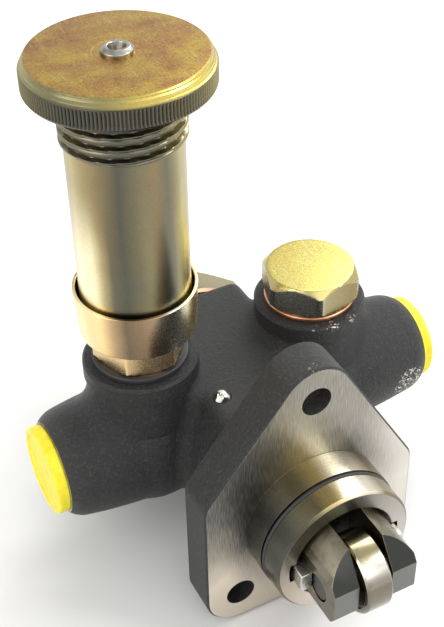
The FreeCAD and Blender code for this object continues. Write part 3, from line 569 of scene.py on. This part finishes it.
# Finish of each solid
nodeFinish = {
    "casting": ["casting"], "fork": ["tappet_body"], "pin": ["roller_pin"],
    "roller": ["tappet_roller"], "tappet": ["piston", "rod_guide", "primer_piston"],
    "bright": ["tappet_snap_ring", "guide_block_left", "guide_block_right", "spindle",
               "piston_spring", "sealing_ball", "suction_valve", "suction_valve_spring",
               "delivery_valve", "delivery_valve_spring", "primer_nut", "primer_rod"],
    "rearPlug": ["rear_plug"], "plug": ["delivery_plug"], "base": ["primer_base"],
    "barrel": ["primer_barrel"], "knob": ["primer_knob"],
    "rubber": ["spigot_o_ring", "primer_washer", "primer_piston_seal"],
    "copper": ["rear_plug_seal", "delivery_washer"], "cap": ["inlet_cap", "outlet_cap"],
}
for finish, names in nodeFinish.items():
    for name in names:
        mesh = nodes[name].data
        mesh.materials.clear()
        mesh.materials.append(finishes[finish])
print("solids finished")


# Which way a turned piece's own x, y and z point, one row each
turnedTo = {"Z": np.eye(3), "Y": np.eye(3)[[2, 0, 1]], "X": np.eye(3)[[1, 2, 0]],
            "-X": np.array([[0.0, 0, 1], [0, 1, 0], [-1, 0, 0]])}


def unit(vectors):
    return vectors / np.linalg.norm(vectors, axis=-1, keepdims=True)


# An outline of corners (radius, height) or (radius, height, rounding): each rounded corner
# becomes an arc that touches both of its runs, swept evenly from one to the other. Points
# that aren't apart by the given length are dropped
def rounded(corners, steps=5, closed=True, tiny=1e-9, apart=1e-4):
    points = np.array([corner[:2] for corner in corners], float)
    size = np.array([corner[2] if len(corner) > 2 else 0.0 for corner in corners])
    back = unit(np.roll(points, 1, 0) - points)
    onward = unit(np.roll(points, -1, 0) - points)
    half = np.arccos(np.clip((back * onward).sum(1), -0.9999, 0.9999)) / 2
    middle = points + unit(back + onward + tiny) * (size / np.sin(half))[:, None]
    first = points + back * (size / np.tan(half))[:, None] - middle
    last = points + onward * (size / np.tan(half))[:, None] - middle
    sweep = (math.pi - 2 * half)[:, None]
    share = np.linspace(0, 1, steps + 1)[:, None, None]
    arcs = (np.sin((1 - share) * sweep) * first + np.sin(share * sweep) * last) / np.sin(sweep)
    line = (middle + arcs).transpose(1, 0, 2).reshape(-1, 2)
    new = np.linalg.norm(line - np.roll(line, 1, 0), axis=1) > apart
    new[0] = new[0] or not closed
    return line[new]


# Puts rows into the runs of an outline, so that none that meets the given band of heights
# is longer than the given length
def divided(line, low, high, length, closed=True):
    parts = []
    for start, stop in zip(line, np.roll(line, -1, 0) if closed else line[1:]):
        inside = max(start[1], stop[1]) > low and min(start[1], stop[1]) < high
        count = max(math.ceil(np.linalg.norm(stop - start) / length), 1) if inside else 1
        share = np.linspace(0, 1, count, endpoint=False)[:, None]
        parts.append(start + share * (stop - start))
    return np.concatenate(parts if closed else parts + [line[-1:]])


# The outline carried round an axis: x = radius cos angle, y = radius sin angle, z = height.
# shape gives the radius at each angle, radius and height
def turnedGrid(line, angles, centre, axis="Z", shape=None):
    angle = angles[None, :]
    radius, height = line[:, :1] + 0 * angle, line[:, 1:] + 0 * angle
    if shape:
        radius = shape(angle, radius, height)
    grid = np.stack([radius * np.cos(angle), radius * np.sin(angle), height], -1)
    return grid @ turnedTo[axis] + np.array(centre)


def evenAngles(count):
    return np.arange(count) * twoPi / count


# Smooth shading, with edges past an angle in degrees sharp
def shadeSmooth(mesh, angle):
    mesh.polygons.foreach_set("use_smooth", np.ones(len(mesh.polygons), bool))
    mesh.set_sharp_from_angle(angle=math.radians(angle))


# Closes the poles, drops what they squeezed flat and turns the faces outwards
def weld(mesh):
    work = bmesh.new()
    work.from_mesh(mesh)
    bmesh.ops.remove_doubles(work, verts=work.verts, dist=weldDistance)
    bmesh.ops.recalc_face_normals(work, faces=work.faces)
    work.to_mesh(mesh)
    work.free()


# A mesh made a piece that rides on a body in place of the given solid
def addMesh(name, mesh, finish, body, node):
    piece = newObject(name, mesh)
    mesh.materials.append(finishes[finish])
    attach(piece, body)
    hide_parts(node)
    return piece


# A grid of points made a piece: rows follow the outline, columns go round and close
def addPiece(name, grid, finish, body, node, closed=True, smooth=32):
    rows, columns = grid.shape[:2]
    i, j = np.meshgrid(np.arange(rows if closed else rows - 1), np.arange(columns), indexing="ij")
    ahead, beside = (i + 1) % rows, (j + 1) % columns
    quads = np.stack([i * columns + j, i * columns + beside, ahead * columns + beside,
                      ahead * columns + j], -1).reshape(-1, 4)
    mesh = bpy.data.meshes.new(name)
    mesh.from_pydata((grid.reshape(-1, 3) * mm).tolist(), [], quads.tolist())
    weld(mesh)
    shadeSmooth(mesh, smooth)
    addMesh(name, mesh, finish, body, node)


# Columns gathered towards the six corners of a hexagon: within each side the angle goes
# with the sine of an even count
def hexAngles(turn, count=30):
    even = (np.arange(count) + 0.5) / count * 2 - 1
    side = np.radians(30) * np.sin(even * math.pi / 2)
    return (np.radians(turn + 30) + np.arange(6)[:, None] * math.pi / 3 + side).ravel()


# A hexagon's radius: half its width over the cosine of the angle from the flat's middle,
# and near a corner the circle of the rounding. It cuts the outline between two heights and
# inside the limit; elsewhere the outline keeps its own radius
def hexShape(flats, turn, rounding, low, high, limit):
    def shape(angle, radius, height):
        side = np.mod(angle - np.radians(turn), math.pi / 3) - math.pi / 6
        flat = flats / 2 / np.cos(side)
        away = math.pi / 6 - np.abs(side)
        centre = (flats / 2 - rounding) / math.cos(math.pi / 6)
        corner = centre * np.cos(away) + np.sqrt(np.maximum(
            rounding ** 2 - (centre * np.sin(away)) ** 2, 0))
        onCorner = centre * np.sin(away) < rounding * 0.5
        edge = np.where(onCorner, corner, flat)
        used = (height > low) & (height < high) & (radius < limit)
        return np.where(used, np.minimum(radius, edge), radius)
    return shape


# The knob: a flat plate with a turned-down rim, two fine steps round its top and a rim of
# straight flutes whose depth follows a cosine of the angle and fades at both ends
knobLook = {"radius": 24.4, "low": 119.7, "fluteLow": 120.25, "fluteHigh": 125.4, "top": 128.2,
            "flutes": 156, "depth": 0.34, "rim": 2.5, "plate": 4.0, "hole": 3.02}


def addKnob(look):
    edge, top, inner = look["radius"], look["top"], look["radius"] - look["rim"]
    line = rounded([(look["hole"], top - look["plate"]), (inner, top - look["plate"], 1.0),
                    (inner, look["low"], 0.3), (edge - 0.5, look["low"], 0.35),
                    (edge, look["fluteLow"] + 0.2, 0.3), (edge, look["fluteHigh"] + 0.1, 0.25),
                    (edge - 0.75, look["fluteHigh"] + 0.55, 0.2),
                    (edge - 0.8, top - 1.15, 0.3), (edge - 1.2, top - 0.75, 0.12),
                    (edge - 1.3, top - 0.35, 0.12), (edge - 1.7, top, 0.22),
                    (6.5, top, 0.1), (6.1, top - 0.06, 0.1), (look["hole"], top - 0.06)])
    line = divided(line, look["fluteLow"] - 0.5, look["fluteHigh"] + 0.5, 0.45)

    def flutes(angle, radius, height):
        wave = 0.5 - 0.5 * np.cos(angle * look["flutes"])
        fade = np.clip((height - look["fluteLow"]) / 0.5, 0, 1)
        fade = fade * np.clip((look["fluteHigh"] - height) / 0.4, 0, 1)
        return radius - look["depth"] * wave ** 0.8 * fade * (radius > look["radius"] - 0.6)

    grid = turnedGrid(line, evenAngles(look["flutes"] * 6), (*inletAxis, 0), shape=flutes)
    addPiece("knob_fluted", grid, "knob", "primer_knob", "primer_knob", smooth=25)


addKnob(knobLook)


# The barrel: a plated tube; towards its top the radius rises and falls along a helix, with
# a narrow groove down the middle of each crest
barrelLook = {"radius": 15.64, "wall": 2.6, "low": 47.0, "top": 117.0, "threadLow": 105.2,
              "threadHigh": 116.2, "pitch": 3.45, "start": 1.9, "crest": 1.0, "root": 0.35}


def addBarrel(look):
    inner = look["radius"] - look["wall"]
    line = rounded([(inner, look["low"]), (look["radius"], look["low"], 0.3),
                    (look["radius"], look["top"], 0.6), (inner, look["top"], 0.3)])
    line = divided(line, look["threadLow"] - 1, look["threadHigh"] + 0.5, 0.17)

    def thread(angle, radius, height):
        turns = (height - look["threadLow"]) / look["pitch"] - angle / twoPi + look["start"]
        phase = np.abs(np.mod(turns, 1.0) - 0.5) * 2
        crest = np.clip((0.62 - phase) / 0.22, 0, 1)
        crest = crest * crest * (3 - 2 * crest)
        groove = 0.28 * np.exp(-(phase / 0.13) ** 2)
        fade = np.clip((height - look["threadLow"]) / 0.6, 0, 1)
        fade = fade * np.clip((look["threadHigh"] - height) / 0.6, 0, 1)
        lift = look["crest"] * crest - groove - look["root"] * (1 - crest)
        return radius + lift * fade * (radius > look["radius"] - 0.7)

    grid = turnedGrid(line, evenAngles(216), (*inletAxis, 0), shape=thread)
    addPiece("barrel_threaded", grid, "barrel", "housing", "primer_barrel",
             smooth=40)


addBarrel(barrelLook)


# The primer's base: a hexagon with a threaded stub below it and a slightly conical cup
# above, one outline whose lower rows take the hexagon's radius
baseLook = {"flats": 24.0, "turn": 50.0, "low": 34.3, "cupLow": 44.0, "cupTop": 58.5,
            "cupRadius": 16.8, "rimRadius": 17.5, "stubLow": 20.0, "stub": 11.9, "bore": 4.0}


def addBase(look):
    cup, rim, low = look["cupRadius"], look["rimRadius"], look["low"]
    line = rounded([(look["bore"], look["stubLow"]), (look["stub"] - 0.8, look["stubLow"], 0.3),
                    (look["stub"], look["stubLow"] + 1, 0.3), (look["stub"], low, 0.1),
                    (12.2, low + 0.05, 0.1), (13.95, low + 1.35, 0.2),
                    (13.95, look["cupLow"] - 0.05), (14.05, look["cupLow"], 0.02),
                    (cup - 0.1, look["cupLow"], 0.35), (rim, look["cupTop"] - 0.1, 0.25),
                    (rim - 0.95, look["cupTop"], 0.3), (15.8, 47.0, 0.3), (12.94, 47.0),
                    (12.94, 53.0, 0.3), (look["bore"], 53.0)])
    line = divided(line, low - 0.5, look["cupLow"], 1.2)
    shape = hexShape(look["flats"], look["turn"], 0.35, low - 0.2, look["cupLow"] - 0.01, 14.5)
    grid = turnedGrid(line, hexAngles(look["turn"]), (*inletAxis, 0), shape=shape)
    addPiece("primer_base_drawn", grid, "base", "housing", "primer_base",
             smooth=28)


addBase(baseLook)


# A plug: hexagon with its corners turned off on a cone at both ends, under it a stub with a
# blind bore. chamfer and lowChamfer are the cone's heights, rings the radii that divide the
# top, rows the height between two rows of the hexagon, all in mm
plugLook = {"name": "delivery_plug", "finish": "plug", "centre": (*outletAxis, 0), "axis": "Z",
            "flats": 27.0, "turn": 71.5, "rounding": 0.45, "low": 34.0, "top": 43.8,
            "seat": (13.0, 0.15), "corner": 15.1, "lowChamfer": (1.6, 0.4), "chamfer": (2.2, 0.5),
            "topRadius": (13.1, 0.28), "rings": (12.1, 6), "rows": 0.5, "stub": 11.9,
            "stubChamfer": 0.8, "stubLow": 20.0, "bore": 6.0, "boreTop": 28.0}


def addPlug(look):
    low, top, corner, stub = look["low"], look["top"], look["corner"], look["stub"]
    (seat, seatRound), (width, widthRound) = look["seat"], look["topRadius"]
    (under, underRound), (over, overRound) = look["lowChamfer"], look["chamfer"]
    line = rounded([(0, look["boreTop"]), (look["bore"], look["boreTop"]),
                    (look["bore"], look["stubLow"], 0.3),
                    (stub - look["stubChamfer"], look["stubLow"], 0.3),
                    (stub, look["stubLow"] + 1, 0.3), (stub, low, 0.1), (seat, low, seatRound),
                    (corner, low + under, underRound), (corner, top - over, overRound),
                    (width, top, widthRound), *[(ring, top) for ring in look["rings"]],
                    (0, top)], closed=False)
    line = divided(line, low - 0.5, top - 0.05, look["rows"], closed=False)
    shape = hexShape(look["flats"], look["turn"], look["rounding"], low + 0.05, top + 0.1,
                     2 * corner)
    grid = turnedGrid(line, hexAngles(look["turn"]), look["centre"], look["axis"], shape)
    addPiece(look["name"] + "_turned", grid, look["finish"], "housing",
             look["name"], closed=False, smooth=28)


addPlug(plugLook)


# The knob's rod: its end stands out of the knob as a rolled collar round a blind hole
rodLook = {"radius": 4.0, "stub": 3.0, "low": 54.0, "shoulder": 65.0, "knobSeat": 124.2,
           "collarLow": 128.0, "collar": 4.25, "top": 129.75, "holeFloor": 127.2}


def addRod(look):
    top, collar = look["top"], look["collar"]
    line = rounded([(0, look["low"]), (look["stub"], look["low"], 0.3),
                    (look["stub"], look["shoulder"]), (look["radius"], look["shoulder"], 0.3),
                    (look["radius"], look["knobSeat"]), (look["stub"], look["knobSeat"]),
                    (look["stub"], look["collarLow"]), (collar, look["collarLow"], 0.1),
                    (collar, top - 0.75, 0.45), (collar - 1.0, top, 0.55),
                    (2.35, top, 0.35), (1.75, look["holeFloor"], 0.5), (0, look["holeFloor"])],
                   steps=7, closed=False)
    grid = turnedGrid(line, evenAngles(96), (*inletAxis, 0))
    addPiece("rod_end_rolled", grid, "collar", "primer_knob", "primer_rod",
             closed=False)


addRod(rodLook)


# Flat rings under the two heads, their edges rounded: inner, outer radius, low, high, centre
ringLook = {
    "delivery_ring": (12.05, 13.9, towerTop, 34.0, outletAxis, "copper", "copper",
                      "delivery_washer"),
    "primer_ring": (12.05, 14.1, towerTop, 34.3, inletAxis, "darkRing", "rubber",
                    "primer_washer"),
}


def addRings(look):
    for name, (inner, outer, low, high, centre, finish, slot, node) in look.items():
        line = rounded([(inner, low, 0.15), (outer, low, 0.45), (outer, high, 0.45),
                        (inner, high, 0.15)])
        grid = turnedGrid(line, evenAngles(144), (*centre, 0))
        addPiece(name, grid, finish, "housing", node)


addRings(ringLook)


# Port caps: a soft disc with a raised rim and a stem; the wall's radius dips in short ribs
# next to the boss, deeper and shallower by two slow waves of the angle
capLook = {"radius": 13.6, "thick": 3.6, "rim": 1.7, "recess": 0.5, "stem": 7.9, "stemWall": 1.4,
           "stemLength": 6.0, "web": 1.6, "ribs": 96, "ribDepth": 0.22, "ribHigh": 1.9}
capPlaces = {"inlet_cap": (-59.0, "-X"), "outlet_cap": (65.0, "X")}


def addCaps(look, places):
    edge, top, stem = look["radius"], look["thick"], look["stem"]
    floor, rim = top - look["recess"], look["radius"] - look["rim"]
    hollow = stem - look["stemWall"]
    line = rounded([(0, floor - look["web"]), (hollow, floor - look["web"], 0.2),
                    (hollow, -look["stemLength"], 0.3), (stem, -look["stemLength"], 0.5),
                    (stem, 0, 0.1), (edge - 0.1, 0, 0.3), (edge, top, 0.8), (rim, top, 0.35),
                    (rim - 0.7, floor, 0.4), (stem - 0.3, floor, 0.3),
                    (stem - 0.8, floor - 0.2, 0.3), (0, floor - 0.2)], closed=False)
    line = divided(line, 0.05, look["ribHigh"] + 0.8, 0.3, closed=False)

    def ribs(angle, radius, height):
        wave = 0.5 - 0.5 * np.cos(angle * look["ribs"])
        uneven = 0.65 + 0.25 * np.cos(angle * 11 + 1) + 0.25 * np.cos(angle * 17 + 2)
        fade = np.clip((look["ribHigh"] - height) / 0.9, 0, 1) * np.clip(height / 0.15, 0, 1)
        return radius - look["ribDepth"] * wave * uneven * fade * (radius > edge - 0.5)

    for node, (end, axis) in places.items():
        grid = turnedGrid(line, evenAngles(look["ribs"] * 5), (end, outletAxis[1], 0), axis, ribs)
        addPiece(node + "_ribbed", grid, "cap", node, node, closed=False)


addCaps(capLook, capPlaces)


# The roller: a ring with rounded edges whose side faces are eased back between two radii
rollerLook = {"radius": 11.2, "bore": 4.05, "half": 4.0, "y": -24.7, "ease": 0.2}


def addRoller(look):
    half, edge, ease = look["half"], look["radius"], look["ease"]
    right = [(look["bore"], half - 0.3), (look["bore"] + 0.4, half, 0.1), (6.0, half, 0.1),
             (6.3, half - ease, 0.1), (edge - 2.0, half - ease, 0.2), (edge - 1.6, half, 0.1),
             (edge - 0.55, half, 0.2), (edge, half - 0.6, 0.4)]
    left = [(corner[0], -corner[1], *corner[2:]) for corner in right]
    line = rounded(left + right[::-1])
    grid = turnedGrid(line, evenAngles(192), (0, look["y"], 0), "X")
    addPiece("roller_ground", grid, "roller", "roller", "tappet_roller")


addRoller(rollerLook)


# The spigot's ring: a tube whose section is a circle, carried round the spigot's axis
oRingLook = {"radius": 20.7, "section": 0.7, "y": -9.3}


def addORing(look):
    turn = evenAngles(20)
    line = np.stack([look["radius"] + look["section"] * np.cos(turn),
                     look["section"] * np.sin(turn)], -1)
    grid = turnedGrid(line, evenAngles(180), (0, look["y"], 0), "Y")
    addPiece("spigot_ring_round", grid, "rubber", "housing", "spigot_o_ring",
             smooth=60)


addORing(oRingLook)


# The ball pressed into the deck: radius and height go with cosine and sine of one angle
ballLook = {"radius": 2.7, "centre": (-12.5, 30.6, 23.7)}


def addBall(look):
    turn = np.linspace(-math.pi / 2, math.pi / 2, 33)
    line = look["radius"] * np.stack([np.cos(turn), np.sin(turn)], -1)
    line[[0, -1], 0] = 0
    grid = turnedGrid(line, evenAngles(64), look["centre"])
    addPiece("ball_ground", grid, "ball", "housing", "sealing_ball",
             closed=False, smooth=60)


addBall(ballLook)


# The rear plug: the same form along Y
rearLook = {"name": "rear_plug", "finish": "rearPlug", "centre": (0, 0, 0), "axis": "Y",
            "flats": 46.0, "turn": 0.0, "rounding": 0.6, "low": 80.0, "top": 92.0,
            "seat": (22.7, 0.2), "corner": 26.4, "lowChamfer": (0.7, 0.2), "chamfer": (2.1, 0.5),
            "topRadius": (22.6, 0.4), "rings": (21.0, 14.0), "rows": 0.6, "stub": 18.9,
            "stubChamfer": 1, "stubLow": 66.0, "bore": 8.3, "boreTop": 72.0}

addPlug(rearLook)


# Machined solids with their edges eased: a merged copy of the CAD mesh, flat faces joined,
# and a live bevel. For each solid: the bevel's width in mm, finish, body and slot
easedLook = {
    "tappet_body": (0.28, "fork", "tappet", "dark_steel"),
    "guide_block_left": (0.35, "slide", "tappet", "bright_steel"),
    "guide_block_right": (0.35, "slide", "tappet", "bright_steel"),
}
easedAngle = 25  # in degrees: flatter edges stay as they are


def addEased(look):
    for node, (width, finish, body, slot) in look.items():
        work = bmesh.new()
        work.from_mesh(nodes[node].data)
        bmesh.ops.remove_doubles(work, verts=work.verts, dist=weldDistance)
        bmesh.ops.dissolve_limit(work, angle_limit=math.radians(0.6), verts=work.verts,
                                 edges=work.edges)
        mesh = bpy.data.meshes.new(node + "_eased")
        work.to_mesh(mesh)
        work.free()
        shadeSmooth(mesh, easedAngle)
        piece = addMesh(node + "_eased", mesh, finish, body, node)
        bevel = piece.modifiers.new("eased", "BEVEL")
        bevel.width = width * mm
        bevel.segments = 2
        bevel.limit_method = "ANGLE"
        bevel.angle_limit = math.radians(easedAngle)


addEased(easedLook)
print("pieces built")


# A wide pale floor, half its side and its drop below the piece in m; the white world is
# its backdrop
floorLook = {"half": 3.0, "drop": 0.0003, "colour": (0.86, 0.86, 0.85),
             "patches": (0.90, 0.90, 0.89), "rough": 0.8}


def addFloor(look, low):
    half, z = look["half"], low - look["drop"]
    mesh = bpy.data.meshes.new("floor")
    mesh.from_pydata([(-half, -half, z), (half, -half, z), (half, half, z), (-half, half, z)],
                     [], [(0, 1, 2, 3)])
    made, tree, shader, place = startMaterial("paleFloor")
    connect(tree, shader, rough=look["rough"], colour=blendColour(
        tree, noise(tree, place, 0.02, 2.0), look["colour"], look["patches"]))
    mesh.materials.append(made)
    newObject("floor", mesh)


addFloor(floorLook, cadLow.z)


# World: white to the camera and in reflections, plain soft grey light elsewhere
worldLook = {"seen": 1.0, "light": 0.62}


def addWorld(look):
    world = bpy.data.worlds.new("studio")
    bpy.context.scene.world = world
    world.use_nodes = True
    tree = world.node_tree
    background = tree.nodes["Background"]
    background.inputs[0].default_value = (1.0, 1.0, 1.0, 1.0)
    path = put(tree, "LightPath")
    seen = calc(tree, "MAXIMUM", path.outputs["Is Camera Ray"], calc(
        tree, "MAXIMUM", path.outputs["Is Glossy Ray"], path.outputs["Is Transmission Ray"]))
    strength = put(tree, "Mix", {0: seen, 2: look["light"], 3: look["seen"]}).outputs[0]
    tree.links.new(strength, background.inputs[1])


addWorld(worldLook)

# Soft lamps: where each stands and looks in m, its size in m and its power in W
lamps = {
    "right": {"place": (0.62, 0.50, 0.78), "aim": (0, 0.03, 0.03), "size": 0.5, "power": 6.0},
    "left": {"place": (-0.95, -0.15, 0.60), "aim": (0, 0.04, 0.04), "size": 0.8, "power": 5.0},
    "front": {"place": (0.10, -1.1, 0.9), "aim": (0, 0.04, 0.04), "size": 0.9, "power": 3.0},
    "spigot": {"place": (0.70, -0.40, 0.83), "aim": (0, -0.01, 0.0), "size": 0.4, "power": 6.0},
}


def addLamps(lamps):
    for name, lamp in lamps.items():
        data = bpy.data.lights.new(name, "AREA")
        data.size = lamp["size"]
        data.energy = lamp["power"]
        place = np.array(lamp["place"])
        back = unit(place - np.array(lamp["aim"]))
        right = unit(np.cross((0.0, 0.0, 1.0), back))
        newObject(name, data).matrix_world = standing(place, right, np.cross(back, right), back)


addLamps(lamps)
bpy.context.scene.view_settings.view_transform = "Standard"
print("stage and lamps set")
